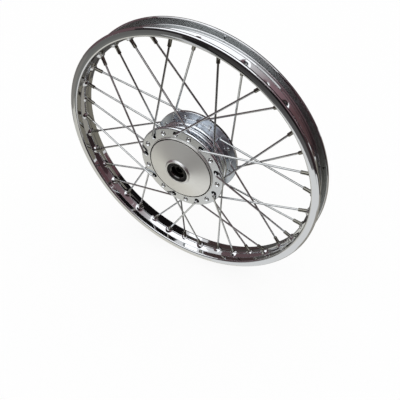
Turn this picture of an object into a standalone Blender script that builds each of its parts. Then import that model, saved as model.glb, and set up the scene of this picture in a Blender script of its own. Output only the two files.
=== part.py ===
# A wire-spoked motorcycle wheel: a chromed steel rim, a drum-brake hub and thirty-six laced spokes.
# The wheel is drawn lying flat, with the axle along Z and the closed face of the hub up, and one empty
# then stands it upright, so that the axle lies along world Y and the closed face looks towards -Y.
import bpy
import bmesh
from math import cos, pi, radians, sin, tan
from mathutils import Matrix, Vector

# Rim: a rolled steel section for a 17-inch tyre
BEAD_RADIUS = 0.217
BEAD_SLOPE = 0.0003
LIP_HEIGHT = 0.012
LIP_SPACING = 0.039
LIP_THICKNESS = 0.0027
WELL_DEPTH = 0.0052
WELL_WIDTH = 0.0156
WELL_WALL_RUN = 0.0022
RIM_SHEET = 0.0015
VALVE_HOLE_DIAMETER = 0.0083
VALVE_HOLE_STEP = 16.5

# Hub casting: two spoke flanges, a ribbed barrel and a shallow cone on the closed side
FLANGE_EDGE = 0.0098
FLANGE_THICKNESS = 0.005
FLANGE_SPACING = 0.053
FLANGE_CHAMFER = 0.0008
HOLE_STAND_OFF = 0.0045
DISC_INSET = 0.0102
DISC_EDGE_HEIGHT = 0.0026
GROOVE_WIDTH = 0.0017
GROOVE_DEPTH = 0.0012
WEB_THICKNESS = 0.006
BOSS_WALL = 0.004
BOSS_HEIGHT = 0.0122
BOSS_STEP = 0.0022
BARREL_WALL = 0.0032
RIB_COUNT = 3
RIB_HEIGHT = 0.0065
RIB_THICKNESS = 0.0022
RIB_PITCH = 0.0055
RIB_SET_BACK = 0.0088
BEARING_HOUSING_WALL = 0.0055
DRUM_BEARING_DEPTH = 0.017

# Brake drum: a cast-iron liner of 110 mm bore
DRUM_DIAMETER = 0.110
LINER_THICKNESS = 0.004
LINER_WIDTH = 0.025
MOUTH_LIP = 0.0025
MOUTH_WALL = 0.004

# Ball bearings of 12 x 37 x 12 mm, and the dust seal in front of the closed-side one
AXLE_DIAMETER = 0.012
BEARING_DIAMETER = 0.037
BEARING_WIDTH = 0.012
BALL_DIAMETER = 0.00595
BALL_COUNT = 7
RACE_WALL = 0.0032
RACE_SPAN = radians(90)
CAGE_WIDTH = 0.0044
CAGE_THICKNESS = 0.0016
SEAL_WIDTH = 0.007
SEAL_RECESS = 0.0004
SEAL_BORE = 0.0226
SEAL_FACE = 0.0018
SEAL_WALL = 0.0025
COLLAR_WALL = 0.0022

# Spokes and nipples, thirty-six, half of them on each flange
SPOKES_PER_FLANGE = 18
SPOKE_DIAMETER = 0.0032
SPOKE_HEAD_DIAMETER = 0.0064
SPOKE_HEAD_HEIGHT = 0.0024
ELBOW_STAND_OFF = 0.0046
NIPPLE_DIAMETER = 0.006
NIPPLE_LENGTH = 0.0145
NIPPLE_HEAD_DIAMETER = 0.0086
NIPPLE_HEAD_HEIGHT = 0.003
SEAT_DEPTH = 0.0016
SEAT_OFFSET = 0.0015
FIRST_HOLE_ANGLE = radians(136.35)
HOLES_CROSSED = 2

# Clearances and how finely round shapes are cut
FIT = 0.0003
CUT_MARGIN = 0.001
STEP_EDGE = 0.0001
RIM_STEPS = 60
HUB_STEPS = 36
BEARING_STEPS = 20
HOLE_SIDES = 6

# Radii that follow from the bead seat of the tyre, from the brake drum and from the bearings
LIP_RADIUS = BEAD_RADIUS + LIP_HEIGHT
WELL_RADIUS = BEAD_RADIUS - WELL_DEPTH
LINER_OUTER_RADIUS = DRUM_DIAMETER / 2 + LINER_THICKNESS
DRUM_WALL_RADIUS = LINER_OUTER_RADIUS + FIT
BARREL_RADIUS = DRUM_WALL_RADIUS + BARREL_WALL
HOLE_CIRCLE_RADIUS = BARREL_RADIUS + HOLE_STAND_OFF
FLANGE_RADIUS = HOLE_CIRCLE_RADIUS + FLANGE_EDGE
DISC_RADIUS = HOLE_CIRCLE_RADIUS - DISC_INSET
BEARING_RADIUS = BEARING_DIAMETER / 2
BALL_CIRCLE_RADIUS = (AXLE_DIAMETER + BEARING_DIAMETER) / 4
POCKET_RADIUS = BEARING_RADIUS + FIT
BOSS_RADIUS = POCKET_RADIUS + BOSS_WALL

# Heights along the axle that several pieces share, measured from the middle plane of the rim
FLANGE_FACE = FLANGE_SPACING / 2
FLANGE_BACK = FLANGE_FACE - FLANGE_THICKNESS
BOSS_END = FLANGE_FACE + BOSS_HEIGHT
SEAL_FACE_Z = BOSS_END - SEAL_RECESS
SEAL_BACK_Z = SEAL_FACE_Z - SEAL_WIDTH
CLOSED_BEARING_Z = SEAL_BACK_Z - FIT - BEARING_WIDTH / 2
DRUM_BEARING_Z = -DRUM_BEARING_DEPTH + BEARING_WIDTH / 2
MOUTH_Z = -FLANGE_FACE - MOUTH_LIP
LINER_END_Z = MOUTH_Z + FIT

for old in list(bpy.data.objects):
    bpy.data.objects.remove(old, do_unlink=True)


def collection_named(name):
    """Makes a collection in the scene."""
    made = bpy.data.collections.new(name)
    bpy.context.scene.collection.children.link(made)
    return made


parts = collection_named("spoked_wheel")
cutters = collection_named("cutters")

axle = bpy.data.objects.new("axle_line", None)
axle.rotation_euler = (pi / 2, 0, 0)
parts.objects.link(axle)


def finish(name, colour, roughness, metallic):
    """Makes a plain surface finish."""
    material = bpy.data.materials.new(name)
    material.use_nodes = True
    shader = material.node_tree.nodes["Principled BSDF"]
    shader.inputs["Base Color"].default_value = (*colour, 1.0)
    shader.inputs["Roughness"].default_value = roughness
    shader.inputs["Metallic"].default_value = metallic
    return material


chrome = finish("chrome_plate", (0.62, 0.62, 0.63), 0.06, 1.0)
aluminium = finish("turned_aluminium", (0.60, 0.60, 0.58), 0.35, 1.0)
cast_iron = finish("cast_iron", (0.16, 0.16, 0.16), 0.6, 1.0)
bearing_steel = finish("bearing_steel", (0.55, 0.55, 0.56), 0.2, 1.0)
seal_rubber = finish("seal_rubber", (0.012, 0.012, 0.012), 0.55, 0.0)
zinc_steel = finish("zinc_plated_steel", (0.40, 0.40, 0.41), 0.3, 1.0)
spoke_steel = finish("bright_spoke_steel", (0.42, 0.42, 0.42), 0.22, 1.0)


def add_part(obj, material):
    """Files an object as a part on the axle line and gives it its finish."""
    parts.objects.link(obj)
    obj.parent = axle
    obj.data.materials.append(material)
    return obj


def turned(name, profile, steps):
    """Turns a closed (radius, height) profile about the axle; its outer side runs from top to bottom."""
    mesh = bpy.data.meshes.new(name)
    count = len(profile)
    edges = [(i, (i + 1) % count) for i in range(count)]
    mesh.from_pydata([(r, 0.0, z) for r, z in profile], edges, [])
    obj = bpy.data.objects.new(name, mesh)
    screw = obj.modifiers.new("Turn", "SCREW")
    screw.axis = "Z"
    screw.angle = 2 * pi
    screw.steps = steps
    screw.render_steps = steps
    screw.use_merge_vertices = True
    screw.merge_threshold = 0.00001
    screw.use_smooth_shade = True
    return obj


def cylinder(bm, radius_low, radius_high, low, high, place, sides=HOLE_SIDES):
    """Adds a closed cylinder or cone between two heights of a placed axis."""
    middle = Matrix.Translation((0, 0, (low + high) / 2))
    bmesh.ops.create_cone(bm, cap_ends=True, cap_tris=False, segments=sides, radius1=radius_low,
                          radius2=radius_high, depth=high - low, matrix=place @ middle)


def tool_object(name, bm):
    """Files a mesh as a hidden tool for a Boolean."""
    mesh = bpy.data.meshes.new(name)
    bm.to_mesh(mesh)
    bm.free()
    obj = bpy.data.objects.new(name, mesh)
    obj.parent = axle
    obj.hide_render = True
    obj.display_type = "WIRE"
    cutters.objects.link(obj)
    return obj


def combine(obj, tool, operation):
    """Adds or cuts a tool."""
    step = obj.modifiers.new(tool.name, "BOOLEAN")
    step.operation = operation
    step.solver = "EXACT"
    step.object = tool


def clear_of(radius):
    """The corner radius of a cut hole whose flats stay the fit clear of a round piece."""
    return (radius + FIT) / cos(pi / HOLE_SIDES)


def on_circle(radius, angle, height):
    """A point at a radius and an angle round the axle."""
    return Vector((radius * cos(angle), radius * sin(angle), height))


def along(start, direction):
    """The frame at a point, with its Z along a direction."""
    return Matrix.Translation(start) @ direction.to_track_quat("Z", "Y").to_matrix().to_4x4()


class Spoke:
    """Where one spoke runs: through its flange, round its elbow and straight to its seat in the rim."""

    def __init__(self, side, runs_outside, index):
        hole_pitch = 2 * pi / SPOKES_PER_FLANGE
        # Round the hub the four runs follow each other, half a hole pitch apart.
        order = {(1, True): 0, (-1, False): 1, (1, False): 2, (-1, True): 3}[side, runs_outside]
        self.hole_angle = FIRST_HOLE_ANGLE - hole_pitch * (order / 2 + 2 * index)
        # Each flange looks the same from its own side: outside spokes turn one way, inside spokes the other.
        turn = -side if runs_outside else side
        swing = turn * HOLES_CROSSED * hole_pitch
        # The shank leaves the head through the flange: outwards for an outside spoke, inwards otherwise.
        self.way = Vector((0, 0, side if runs_outside else -side))
        outer_face = side * FLANGE_FACE
        inner_face = side * FLANGE_BACK
        head_z, exit_z = (inner_face, outer_face) if runs_outside else (outer_face, inner_face)
        self.head = on_circle(HOLE_CIRCLE_RADIUS, self.hole_angle, head_z)
        self.exit = on_circle(HOLE_CIRCLE_RADIUS, self.hole_angle, exit_z)
        self.corner = self.exit + self.way * ELBOW_STAND_OFF
        self.seat = on_circle(WELL_RADIUS - SEAT_DEPTH, self.hole_angle + swing, side * SEAT_OFFSET)
        self.run = (self.seat - self.corner).normalized()

    def elbow(self):
        """Three points round the elbow, which starts just clear of the flange."""
        reach = ELBOW_STAND_OFF - FIT
        start = self.corner - self.way * reach
        end = self.corner + self.run * reach
        half_turn = self.way.angle(self.run) / 2
        bend_radius = reach / tan(half_turn)
        inward = (self.run - self.way).normalized()
        centre = self.corner + inward * (bend_radius / cos(half_turn))
        return [start, centre - inward * bend_radius, end]

    def stations(self):
        """The points of the spoke and its nipple, each with the radius there."""
        shank = SPOKE_DIAMETER / 2
        head = SPOKE_HEAD_DIAMETER / 2
        body = NIPPLE_DIAMETER / 2
        cap = NIPPLE_HEAD_DIAMETER / 2
        under_head = self.head - self.way * FIT
        crown = under_head - self.way * SPOKE_HEAD_HEIGHT
        under_cap = self.seat + self.run * FIT
        tip = self.seat - self.run * NIPPLE_LENGTH
        edge = self.run * STEP_EDGE
        rows = [(crown, head * 0.6), (under_head, head), (under_head + self.way * STEP_EDGE, shank)]
        rows += [(point, shank) for point in self.elbow()]
        rows += [(tip - edge, shank), (tip, body)]
        rows += [(under_cap - edge, body), (under_cap, cap), (under_cap + self.run * NIPPLE_HEAD_HEIGHT, cap * 0.7)]
        return rows


def all_spokes():
    """Every spoke with its name, nine in each of the four runs."""
    for side, side_name in ((1, "closed"), (-1, "drum")):
        for runs_outside, run_name in ((True, "outer"), (False, "inner")):
            for index in range(SPOKES_PER_FLANGE // 2):
                yield f"{side_name}_{run_name}_spoke_{index + 1}", Spoke(side, runs_outside, index)


spokes = dict(all_spokes())


# Rim
def rim_profile():
    """The rolled section: lip, bead seat, wall and half of the well, mirrored about the middle plane."""
    crest = LIP_SPACING / 2
    half_lip = LIP_THICKNESS / 2
    well = WELL_WIDTH / 2
    wall_top = well + WELL_WALL_RUN
    seat_end = BEAD_RADIUS - BEAD_SLOPE
    tyre_side = [
        (LIP_RADIUS - 0.9 * half_lip, crest + half_lip),
        (LIP_RADIUS, crest),
        (LIP_RADIUS - 0.9 * half_lip, crest - half_lip),
        (BEAD_RADIUS + RIM_SHEET, crest - half_lip - 0.2 * RIM_SHEET),
        (BEAD_RADIUS, crest - half_lip - 1.2 * RIM_SHEET),
        (seat_end, wall_top),
        (WELL_RADIUS, well),
    ]
    hub_side = [
        (WELL_RADIUS - RIM_SHEET, well + 0.5 * RIM_SHEET),
        (seat_end - RIM_SHEET, wall_top + 0.5 * RIM_SHEET),
        (BEAD_RADIUS - RIM_SHEET, crest - 0.4 * half_lip),
        (BEAD_RADIUS - 0.2 * RIM_SHEET, crest + 0.7 * half_lip),
    ]
    lower_tyre_side = [(r, -z) for r, z in reversed(tyre_side)]
    lower_hub_side = [(r, -z) for r, z in reversed(hub_side)]
    return tyre_side + lower_tyre_side + lower_hub_side + hub_side


rim = add_part(turned("rim", rim_profile(), RIM_STEPS), chrome)
dimple_radius = clear_of(NIPPLE_HEAD_DIAMETER / 2)
dimple_bosses = bmesh.new()
seat_cuts = bmesh.new()
for spoke in spokes.values():
    seat_frame = along(spoke.seat, spoke.run)
    boss_base = SEAT_DEPTH - RIM_SHEET / 2
    cylinder(dimple_bosses, dimple_radius, dimple_radius + RIM_SHEET, -RIM_SHEET, boss_base, seat_frame)
    cylinder(seat_cuts, dimple_radius, dimple_radius, 0, NIPPLE_HEAD_HEIGHT + SEAT_DEPTH, seat_frame)
nipple_holes = bmesh.new()
for spoke in spokes.values():
    seat_frame = along(spoke.seat, spoke.run)
    hole_radius = clear_of(NIPPLE_DIAMETER / 2)
    cylinder(nipple_holes, hole_radius, hole_radius, -RIM_SHEET - 2 * CUT_MARGIN, CUT_MARGIN, seat_frame)
# The valve hole lies in the well, half way between two nipples.
valve_angle = FIRST_HOLE_ANGLE - pi / SPOKES_PER_FLANGE * VALVE_HOLE_STEP
valve_frame = along(on_circle(WELL_RADIUS, valve_angle, 0), on_circle(1, valve_angle, 0))
valve_radius = VALVE_HOLE_DIAMETER / 2
cylinder(nipple_holes, valve_radius, valve_radius, -RIM_SHEET - CUT_MARGIN, CUT_MARGIN, valve_frame)
combine(rim, tool_object("rim_dimple_bosses", dimple_bosses), "UNION")
combine(rim, tool_object("rim_seat_cuts", seat_cuts), "DIFFERENCE")
combine(rim, tool_object("rim_hole_cuts", nipple_holes), "DIFFERENCE")


# Hub casting
def hub_profile():
    """The cup-shaped casting: cone, boss, flanges, ribs, drum mouth, web and bearing housing."""
    groove = DISC_RADIUS + GROOVE_WIDTH
    disc_edge = FLANGE_FACE + DISC_EDGE_HEIGHT
    boss_foot = BOSS_END - BOSS_STEP
    chamfer = FLANGE_CHAMFER
    outside = [
        (POCKET_RADIUS, BOSS_END),
        (BOSS_RADIUS - chamfer, BOSS_END),
        (BOSS_RADIUS, BOSS_END - chamfer),
        (BOSS_RADIUS + chamfer / 2, boss_foot),
        (DISC_RADIUS - chamfer / 2, disc_edge + chamfer / 4),
        (DISC_RADIUS, disc_edge - chamfer / 2),
        (DISC_RADIUS + GROOVE_WIDTH * 0.3, FLANGE_FACE - GROOVE_DEPTH),
        (groove - GROOVE_WIDTH * 0.2, FLANGE_FACE - GROOVE_DEPTH),
        (groove, FLANGE_FACE),
        (FLANGE_RADIUS - chamfer, FLANGE_FACE),
        (FLANGE_RADIUS, FLANGE_FACE - chamfer),
        (FLANGE_RADIUS, FLANGE_BACK + chamfer),
        (FLANGE_RADIUS - chamfer, FLANGE_BACK),
        (BARREL_RADIUS + chamfer, FLANGE_BACK),
        (BARREL_RADIUS, FLANGE_BACK - chamfer),
    ]
    rib_radius = BARREL_RADIUS + RIB_HEIGHT
    for rib in range(RIB_COUNT):
        rib_top = FLANGE_BACK - RIB_SET_BACK - rib * RIB_PITCH
        outside += [
            (BARREL_RADIUS, rib_top),
            (rib_radius, rib_top - RIB_THICKNESS * 0.15),
            (rib_radius, rib_top - RIB_THICKNESS * 0.85),
            (BARREL_RADIUS, rib_top - RIB_THICKNESS),
        ]
    mouth_radius = DRUM_WALL_RADIUS + MOUTH_WALL
    outside += [
        (BARREL_RADIUS, -FLANGE_BACK + RIB_HEIGHT),
        (BARREL_RADIUS + chamfer, -FLANGE_BACK),
        (FLANGE_RADIUS - chamfer, -FLANGE_BACK),
        (FLANGE_RADIUS, -FLANGE_BACK - chamfer),
        (FLANGE_RADIUS, -FLANGE_FACE + chamfer),
        (FLANGE_RADIUS - chamfer, -FLANGE_FACE),
        (mouth_radius, -FLANGE_FACE),
        (mouth_radius, MOUTH_Z),
    ]
    liner_shoulder = LINER_END_Z + LINER_WIDTH + FIT
    cavity = DRUM_DIAMETER / 2 - FIT
    housing = POCKET_RADIUS + BEARING_HOUSING_WALL
    shoulder = BEARING_RADIUS - RACE_WALL
    web_rim = disc_edge - WEB_THICKNESS
    web_hub = boss_foot - WEB_THICKNESS
    inside = [
        (DRUM_WALL_RADIUS, MOUTH_Z),
        (DRUM_WALL_RADIUS, liner_shoulder),
        (cavity, liner_shoulder),
        (cavity - WEB_THICKNESS / 2, web_rim - WEB_THICKNESS / 2),
        (cavity - WEB_THICKNESS, web_rim),
        (housing + WEB_THICKNESS / 2, web_hub),
        (housing, web_hub - WEB_THICKNESS / 2),
        (housing, DRUM_BEARING_Z - BEARING_WIDTH / 2 - FIT),
        (POCKET_RADIUS, DRUM_BEARING_Z - BEARING_WIDTH / 2 - FIT),
        (POCKET_RADIUS, DRUM_BEARING_Z + BEARING_WIDTH / 2 + FIT),
        (shoulder, DRUM_BEARING_Z + BEARING_WIDTH / 2 + FIT),
        (shoulder, CLOSED_BEARING_Z - BEARING_WIDTH / 2 - FIT),
        (POCKET_RADIUS, CLOSED_BEARING_Z - BEARING_WIDTH / 2 - FIT),
    ]
    return outside + inside


hub = add_part(turned("hub_shell", hub_profile(), HUB_STEPS), aluminium)
spoke_holes = bmesh.new()
for spoke in spokes.values():
    hole_frame = along(spoke.head, spoke.way)
    hole_radius = clear_of(SPOKE_DIAMETER / 2)
    cylinder(spoke_holes, hole_radius, hole_radius, -CUT_MARGIN, FLANGE_THICKNESS + CUT_MARGIN, hole_frame)
combine(hub, tool_object("spoke_hole_cuts", spoke_holes), "DIFFERENCE")

# Brake liner: an iron ring cast into the drum, chamfered at its mouth
liner_bore = DRUM_DIAMETER / 2
liner_top = LINER_END_Z + LINER_WIDTH
liner_profile = [
    (LINER_OUTER_RADIUS, liner_top),
    (LINER_OUTER_RADIUS, LINER_END_Z),
    (liner_bore + LINER_THICKNESS / 4, LINER_END_Z),
    (liner_bore, LINER_END_Z + LINER_THICKNESS / 4),
    (liner_bore, liner_top),
]
add_part(turned("brake_liner", liner_profile, HUB_STEPS), cast_iron)


# Bearings
def race_groove(radius_sign, height):
    """Points of a raceway that follows the balls, at the fit from them, from top to bottom."""
    reach = BALL_DIAMETER / 2 + FIT
    return [
        (BALL_CIRCLE_RADIUS + radius_sign * reach * cos(swing), height + reach * sin(swing))
        for swing in (RACE_SPAN / 2, 0, -RACE_SPAN / 2)
    ]


def outer_ring_profile(height):
    """The ring pressed into the hub, with the raceway in its bore."""
    half = BEARING_WIDTH / 2
    land = BEARING_RADIUS - RACE_WALL
    groove = list(reversed(race_groove(1, height)))
    return [
        (BEARING_RADIUS, height + half),
        (BEARING_RADIUS, height - half),
        (land, height - half),
        (land, groove[0][1]),
        *groove[1:2],
        (land, groove[2][1]),
        (land, height + half),
    ]


def inner_ring_profile(height):
    """The ring on the axle, with the raceway on its outer side."""
    half = BEARING_WIDTH / 2
    bore = AXLE_DIAMETER / 2
    land = bore + RACE_WALL
    groove = race_groove(-1, height)
    return [
        (land, height + half),
        (land, groove[0][1]),
        *groove[1:2],
        (land, groove[2][1]),
        (land, height - half),
        (bore, height - half),
        (bore, height + half),
    ]


def ball_cage(name, height):
    """A pressed cage with its balls, drawn as one body because they turn together."""
    low = height - CAGE_WIDTH / 2
    high = height + CAGE_WIDTH / 2
    outer = BALL_CIRCLE_RADIUS + CAGE_THICKNESS / 2
    inner = BALL_CIRCLE_RADIUS - CAGE_THICKNESS / 2
    cage = add_part(turned(name, [(outer, high), (outer, low), (inner, low), (inner, high)], BEARING_STEPS),
                    bearing_steel)
    balls = bmesh.new()
    for ball in range(BALL_COUNT):
        centre = on_circle(BALL_CIRCLE_RADIUS, 2 * pi * ball / BALL_COUNT, height)
        bmesh.ops.create_uvsphere(balls, u_segments=8, v_segments=4, radius=BALL_DIAMETER / 2,
                                  matrix=Matrix.Translation(centre))
    combine(cage, tool_object(name + "_balls", balls), "UNION")


for side_name, bearing_z in (("closed_side", CLOSED_BEARING_Z), ("drum_side", DRUM_BEARING_Z)):
    outer_ring = turned(side_name + "_bearing_outer_ring", outer_ring_profile(bearing_z), BEARING_STEPS)
    add_part(outer_ring, bearing_steel)
    inner_ring = turned(side_name + "_bearing_inner_ring", inner_ring_profile(bearing_z), BEARING_STEPS)
    add_part(inner_ring, bearing_steel)
    ball_cage(side_name + "_bearing_balls_and_cage", bearing_z)

# Distance collar: the tube that keeps the two inner rings apart on the axle
collar_bore = AXLE_DIAMETER / 2 + FIT
collar_outer = collar_bore + COLLAR_WALL
collar_top = CLOSED_BEARING_Z - BEARING_WIDTH / 2 - FIT
collar_low = DRUM_BEARING_Z + BEARING_WIDTH / 2 + FIT
collar_profile = [
    (collar_outer, collar_top),
    (collar_outer, collar_low),
    (collar_bore, collar_low),
    (collar_bore, collar_top),
]
add_part(turned("distance_collar", collar_profile, BEARING_STEPS), zinc_steel)

# Dust seal: a moulded ring pressed in front of the closed-side bearing, with a lip round its bore
seal_lip = SEAL_BORE / 2
seal_profile = [
    (BEARING_RADIUS, SEAL_FACE_Z - SEAL_RECESS),
    (BEARING_RADIUS, SEAL_BACK_Z),
    (BEARING_RADIUS - SEAL_WALL, SEAL_BACK_Z),
    (BEARING_RADIUS - SEAL_WALL, SEAL_FACE_Z - SEAL_FACE),
    (seal_lip + SEAL_WALL, SEAL_FACE_Z - 1.4 * SEAL_FACE),
    (seal_lip + SEAL_WALL / 2, SEAL_BACK_Z + SEAL_FACE),
    (seal_lip, SEAL_BACK_Z + 1.4 * SEAL_FACE),
    (seal_lip, SEAL_FACE_Z - SEAL_FACE),
    (seal_lip + SEAL_RECESS, SEAL_FACE_Z - SEAL_FACE / 2),
    (BEARING_RADIUS - SEAL_WALL, SEAL_FACE_Z),
    (BEARING_RADIUS - SEAL_RECESS, SEAL_FACE_Z),
]
add_part(turned("dust_seal", seal_profile, BEARING_STEPS), seal_rubber)


# Spokes, each with the nipple that is screwed on its end
def spoke_object(name, spoke):
    """One wire of changing thickness: button head, shank, elbow, straight run and nipple."""
    stations = spoke.stations()
    curve = bpy.data.curves.new(name, "CURVE")
    curve.dimensions = "3D"
    curve.bevel_depth = SPOKE_DIAMETER / 2
    curve.bevel_resolution = 1
    curve.use_fill_caps = True
    spline = curve.splines.new("POLY")
    spline.points.add(len(stations) - 1)
    for point, (place, radius) in zip(spline.points, stations):
        point.co = (*place, 1.0)
        point.radius = radius / curve.bevel_depth
    spline.use_smooth = True
    return add_part(bpy.data.objects.new(name, curve), spoke_steel)


for spoke_name, spoke in spokes.items():
    spoke_object(spoke_name, spoke)
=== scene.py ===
# The looks of a wire-spoked motorcycle wheel with a drum-brake hub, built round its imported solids.
# Lengths are in metres. The axle lies along Y, and the closed face of the hub looks towards -Y.
from math import atan2, cos, hypot, pi, radians, sin, tan

import bmesh
import bpy
from mathutils import Matrix, Vector


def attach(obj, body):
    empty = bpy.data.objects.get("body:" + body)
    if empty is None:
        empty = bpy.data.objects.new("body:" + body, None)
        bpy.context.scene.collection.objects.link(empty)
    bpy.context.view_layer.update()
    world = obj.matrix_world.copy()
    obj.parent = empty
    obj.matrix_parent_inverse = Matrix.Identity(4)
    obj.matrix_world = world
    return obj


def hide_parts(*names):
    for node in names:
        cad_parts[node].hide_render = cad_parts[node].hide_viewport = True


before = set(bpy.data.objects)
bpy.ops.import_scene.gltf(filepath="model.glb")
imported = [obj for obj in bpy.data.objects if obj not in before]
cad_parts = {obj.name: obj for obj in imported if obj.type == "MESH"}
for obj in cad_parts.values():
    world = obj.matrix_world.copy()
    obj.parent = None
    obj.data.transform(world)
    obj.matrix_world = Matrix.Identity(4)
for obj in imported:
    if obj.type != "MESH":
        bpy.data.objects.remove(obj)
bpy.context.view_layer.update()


# Rim
# A rolled steel section for a 17-inch tyre, welded into a hoop and chrome plated.
# Two lips with a knurl on their inner walls hold the tyre, and the dimpled well carries the nipples.
# The well is drilled for the valve, and the far lip's wall for two drains.
MM = 0.001
LIP_RADIUS = 229.0 * MM
LIP_CREST = 19.5 * MM
LIP_HALF = 1.35 * MM
LIP_WALL = 15.8 * MM
BEAD_RADIUS = 217.0 * MM
WELL_RADIUS = 211.8 * MM
WELL_SLOPE = 0.65
WELL_ROUND = 2.2 * MM
SEAT_INNER = 9.5 * MM
SHEET = 1.5 * MM
SEAT_DEPTH = 1.6 * MM
SEAT_OFFSET = 1.5 * MM
SEAT_FLAT = 4.6 * MM
SEAT_REACH = 7.4 * MM
SEAT_LEVELLING = 0.85
VALVE_HOLE = 4.15 * MM
VALVE_ANGLE = 331.35
DRAIN_HOLE = 1.5 * MM
DRAIN_RADIUS = 222.6 * MM
DRAIN_ANGLES = (77.3, 16.3)
RUNS = 4
SPOKES_PER_RUN = 9
FIRST_HOLE = 136.35
HOLE_STEP = 10
SPOKE_STEP = 40
LACING_SWING = 40
KNURL_PITCH = 3.0 * MM
KNURL_FOOT = BEAD_RADIUS + 2.4 * MM
KNURL_TOP = 223.6 * MM
RIM_STEPS = 864
FILLET_SHARE = 0.45
GUARD_SHARE = 0.15
KNURLED, UNPLATED_SHADE = 1, 2


def linear(colour):
    """An sRGB hex colour as the linear colour that a shader takes."""
    channels = [int(colour[i:i + 2], 16) / 255 for i in (0, 2, 4)]
    return tuple(c / 12.92 if c < 0.04045 else ((c + 0.055) / 1.055) ** 2.4 for c in channels) + (1,)


def add(tree, kind, inputs={}, **settings):
    """Adds a node, with its settings, and its inputs as values or as links from other sockets."""
    made = tree.nodes.new(kind)
    for name, value in settings.items():
        setattr(made, name, value)
    for socket, value in inputs.items():
        if isinstance(value, bpy.types.NodeSocket):
            tree.links.new(value, made.inputs[socket])
        else:
            made.inputs[socket].default_value = value
    return made


def finish(name, values):
    """A new material whose Principled shader has these values."""
    material = bpy.data.materials.new(name)
    material.use_nodes = True
    shader = material.node_tree.nodes["Principled BSDF"]
    for socket, value in values.items():
        shader.inputs[socket].default_value = value
    return material


def opened(material):
    """The node tree of a material, and the inputs of its Principled shader."""
    tree = material.node_tree
    return tree, tree.nodes["Principled BSDF"].inputs


def mottle(tree, size, detail=3.0):
    """A noise that stays on the piece, with spots of about this size."""
    where = add(tree, "ShaderNodeTexCoord")
    noise = add(tree, "ShaderNodeTexNoise", {
        "Vector": where.outputs["Object"], "Scale": 1 / size, "Detail": detail})
    return noise.outputs["Fac"]


def rounded(corners, steps=4):
    """A closed (radius, y) outline with each corner (radius, y, fillet) rounded off.
    A short way off each fillet stands one more point, which keeps the flats flat when shaded smooth."""
    points = []
    count = len(corners)
    for i, (r, y, fillet) in enumerate(corners):
        here = Vector((r, y))
        back = Vector(corners[i - 1][:2]) - here
        on = Vector(corners[(i + 1) % count][:2]) - here
        if fillet == 0:
            points.append((r, y))
            continue
        half = back.angle(on) / 2
        reach = min(fillet / tan(half), FILLET_SHARE * back.length, FILLET_SHARE * on.length)
        fillet = reach * tan(half)
        back.normalize()
        on.normalize()
        centre = here + (back + on).normalized() * (fillet / sin(half))
        start = here + back * reach - centre
        end = here + on * reach - centre
        sweep = atan2(start.cross(end), start.dot(end))
        points.append(tuple(centre + start + back * GUARD_SHARE * reach))
        for step in range(steps + 1):
            points.append(tuple(centre + Matrix.Rotation(sweep * step / steps, 2) @ start))
        points.append(tuple(centre + end + on * GUARD_SHARE * reach))
    return points


def turned(name, outline, steps, shift=None):
    """A mesh turned about the axle from a closed (radius, y) outline.
    Its UV map holds the way round and the way along the outline, in metres."""
    mesh = bpy.data.meshes.new(name)
    count = len(outline)
    vertices = []
    for step in range(steps):
        angle = 2 * pi * step / steps
        for r, y in outline:
            r = r if shift is None else r - shift(r, y, angle)
            vertices.append((r * cos(angle), y, r * sin(angle)))
    faces = []
    for step in range(steps):
        here, there = step * count, (step + 1) % steps * count
        for i in range(count):
            j = (i + 1) % count
            faces.append((here + i, here + j, there + j, there + i))
    mesh.from_pydata(vertices, [], faces)
    run = [0.0]
    for i in range(count):
        (r0, y0), (r1, y1) = outline[i], outline[(i + 1) % count]
        run.append(run[-1] + hypot(r1 - r0, y1 - y0))
    girth = 2 * pi * max(r for r, y in outline)
    uv = mesh.uv_layers.new(name="turning").data
    corner = 0
    for step in range(steps):
        for i in range(count):
            low, high = girth * step / steps, girth * (step + 1) / steps
            for u, v in ((low, run[i]), (low, run[i + 1]), (high, run[i + 1]), (high, run[i])):
                uv[corner].uv = (u, v)
                corner += 1
    body = bmesh.new()
    body.from_mesh(mesh)
    bmesh.ops.recalc_face_normals(body, faces=body.faces)
    body.to_mesh(mesh)
    body.free()
    made = bpy.data.objects.new(name, mesh)
    bpy.context.collection.objects.link(made)
    return made


def settle(piece):
    """Turns what a piece's modifiers make into its plain mesh."""
    graph = bpy.context.evaluated_depsgraph_get()
    mesh = bpy.data.meshes.new_from_object(piece.evaluated_get(graph))
    piece.modifiers.clear()
    piece.data = mesh


def drilled(piece, holes):
    """Cuts round holes out of a closed piece.
    Each is a place, a direction, a radius at each end, and where it starts and ends along the direction."""
    cutter_body = bmesh.new()
    for place, way, radius_1, radius_2, start, end in holes:
        turn = way.to_track_quat("Z", "Y").to_matrix().to_4x4()
        middle = place + way * (start + end) / 2
        bmesh.ops.create_cone(cutter_body, cap_ends=True, segments=24, radius1=radius_1, radius2=radius_2,
                              depth=end - start, matrix=Matrix.Translation(middle) @ turn)
    cutter_mesh = bpy.data.meshes.new("drill")
    cutter_body.to_mesh(cutter_mesh)
    cutter_body.free()
    cutter = bpy.data.objects.new("drill", cutter_mesh)
    bpy.context.collection.objects.link(cutter)
    cut = piece.modifiers.new("drill", "BOOLEAN")
    cut.object = cutter
    cut.solver = "MANIFOLD"
    settle(piece)
    bpy.data.objects.remove(cutter)


def smooth(piece, angle):
    """Shades a piece smooth, apart from edges sharper than the angle in degrees."""
    piece.data.shade_smooth()
    piece.data.set_sharp_from_angle(angle=radians(angle))


def coat(piece, material):
    """Gives a piece one finish all over."""
    piece.data.materials.clear()
    piece.data.materials.append(material)


def around(radius, degrees, y):
    """A point at an angle about the axle."""
    return Vector((radius * cos(radians(degrees)), y, radius * sin(radians(degrees))))


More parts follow.
